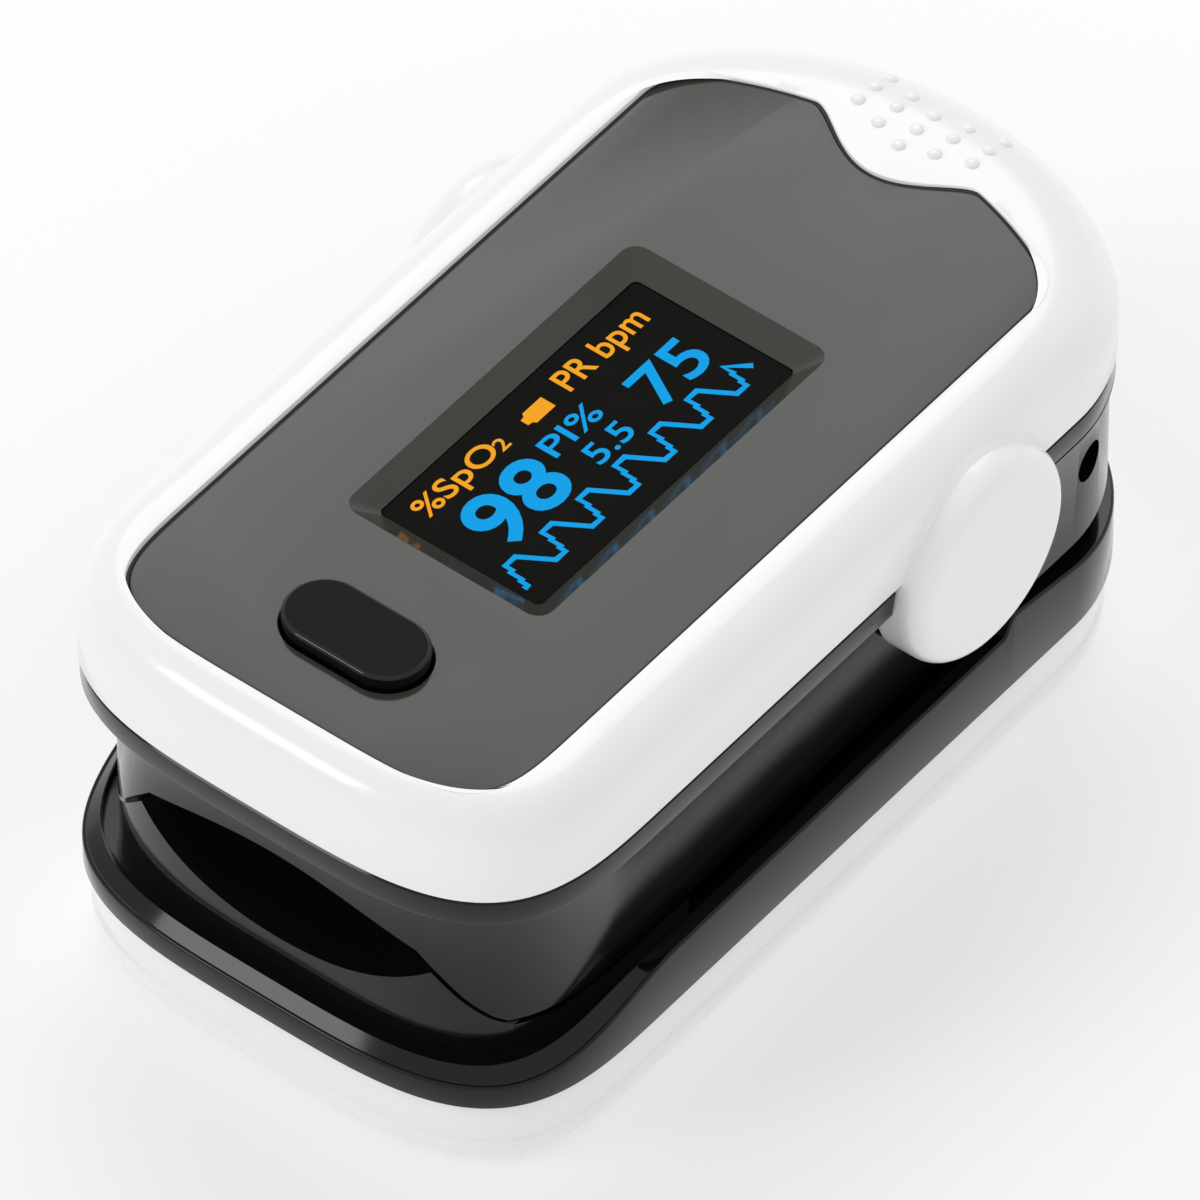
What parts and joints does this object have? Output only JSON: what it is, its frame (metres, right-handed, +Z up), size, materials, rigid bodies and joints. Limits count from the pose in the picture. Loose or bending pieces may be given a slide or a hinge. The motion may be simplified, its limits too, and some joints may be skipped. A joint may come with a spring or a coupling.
{
  "type": "fingertip pulse oximeter",
  "caption": "Spring clip fingertip pulse oximeter: hinged upper and lower housings with a finger channel, display, push button and sliding battery door.",
  "frame": {"origin": "on the resting plane, under the middle of the closed clip's bounding box", "axes": "+X to the right of the finger, +Y from the finger mouth to the hinged tail, +Z up through the display"},
  "size_m": [0.0368, 0.0616, 0.0283],
  "materials": {
    "white_plastic": "glossy warm white ABS",
    "black_plastic": "high gloss black ABS",
    "grey_panel": "satin dark grey, fine grained",
    "display_glass": "dark display glass with lit characters",
    "button_plastic": "black key with a satin top",
    "silicone": "soft matte black silicone",
    "clear_window": "clear red tinted lens",
    "circuit_board": "green solder mask",
    "chip_package": "moulded epoxy",
    "steel": "plain steel",
    "nickel": "nickel plated spring steel",
    "cell_jacket": "printed foil jacket, no lettering",
    "ribbon_film": "amber polyimide film"
  },
  "bodies": {
    "lower": {"lower_case": "black_plastic", "lower_pad": "silicone", "sensor_window": "clear_window", "photodiode": "chip_package", "bottom_cover": "white_plastic", "battery_left": "cell_jacket", "battery_right": "cell_jacket", "battery_contact_left": "nickel", "battery_contact_right": "nickel", "battery_bridge": "nickel", "battery_spring_left": "nickel", "battery_spring_right": "nickel", "lower_screw_1": "steel", "lower_screw_2": "steel", "lower_screw_3": "steel", "lower_screw_4": "steel", "torsion_spring_left": "steel", "torsion_spring_right": "steel", "ribbon_cable": "ribbon_film"},
    "axle": {"hinge_axle": "steel"},
    "upper": {"top_cover": "white_plastic", "face_panel": "grey_panel", "oled_display": "display_glass", "main_board": "circuit_board", "processor_chip": "chip_package", "tact_switch": "chip_package", "upper_case": "black_plastic", "upper_pad": "silicone", "emitter_window": "clear_window", "led_emitter": "chip_package", "upper_screw_1": "steel", "upper_screw_2": "steel", "upper_screw_3": "steel", "upper_screw_4": "steel"},
    "button": {"power_button": "button_plastic"},
    "door": {"battery_door": "white_plastic"}
  },
  "joints": [
    {"name": "clip_hinge", "type": "hinge", "parent": "lower", "child": "axle", "pos_m": [0, 0.0123, 0.0174], "axis": [-1, 0, 0], "range_deg": [0, 8], "stiffness_Nm_per_rad": 0.15, "springref_deg": -22.92, "deforming": ["torsion_spring_left", "torsion_spring_right", "ribbon_cable"]},
    {"name": "clip_float", "type": "slide", "parent": "axle", "child": "upper", "axis": [0, 0, 1], "range_m": [0, 0.003], "stiffness_N_per_m": 400, "springref_m": -0.004},
    {"name": "power_button_press", "type": "slide", "parent": "upper", "child": "button", "axis": [0, 0, -1], "range_m": [0, 0.00045], "stiffness_N_per_m": 2000, "springref_m": -0.0002},
    {"name": "battery_door_slide", "type": "slide", "parent": "lower", "child": "door", "axis": [0, 1, 0], "range_m": [0, 0.056]}
  ]
}
